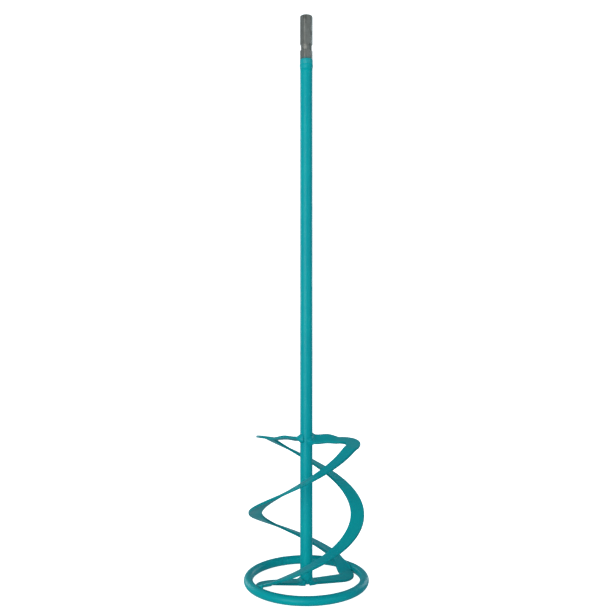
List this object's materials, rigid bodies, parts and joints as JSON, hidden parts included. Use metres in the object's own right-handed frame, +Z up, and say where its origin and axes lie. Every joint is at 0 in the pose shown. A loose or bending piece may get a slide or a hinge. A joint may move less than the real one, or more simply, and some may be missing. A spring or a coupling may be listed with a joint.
{
  "type": "mortar mixing paddle",
  "caption": "Welded steel mortar mixing paddle: hexagonal quick-coupling shank, long round shaft, flat-bar helical blades and a round-bar ring at the bottom.",
  "frame": {"origin": "on the shaft's axis, at the underside of the bottom ring", "axes": "+Z up the shaft to the tip of the hexagonal shank; +X to the right and -Y towards the viewer, with blade A's upper elbow at the front right"},
  "size_m": [0.12, 0.12, 0.545],
  "materials": {
    "teal_coat": "satin teal powder coat over steel, slightly orange-peeled, thin over the welds",
    "bare_steel": "bare grey steel, milled flats, dull grey finish"
  },
  "bodies": {
    "root": {"hex_shank": "bare_steel", "shank_weld": "teal_coat", "shaft": "teal_coat", "blade_a": "teal_coat", "blade_b": "teal_coat", "upper_weld_a": "teal_coat", "upper_weld_b": "teal_coat", "lower_weld_a": "teal_coat", "lower_weld_b": "teal_coat", "bottom_ring": "teal_coat", "ring_seam_weld": "teal_coat", "ring_weld_a": "teal_coat", "ring_weld_b": "teal_coat"}
  },
  "joints": []
}
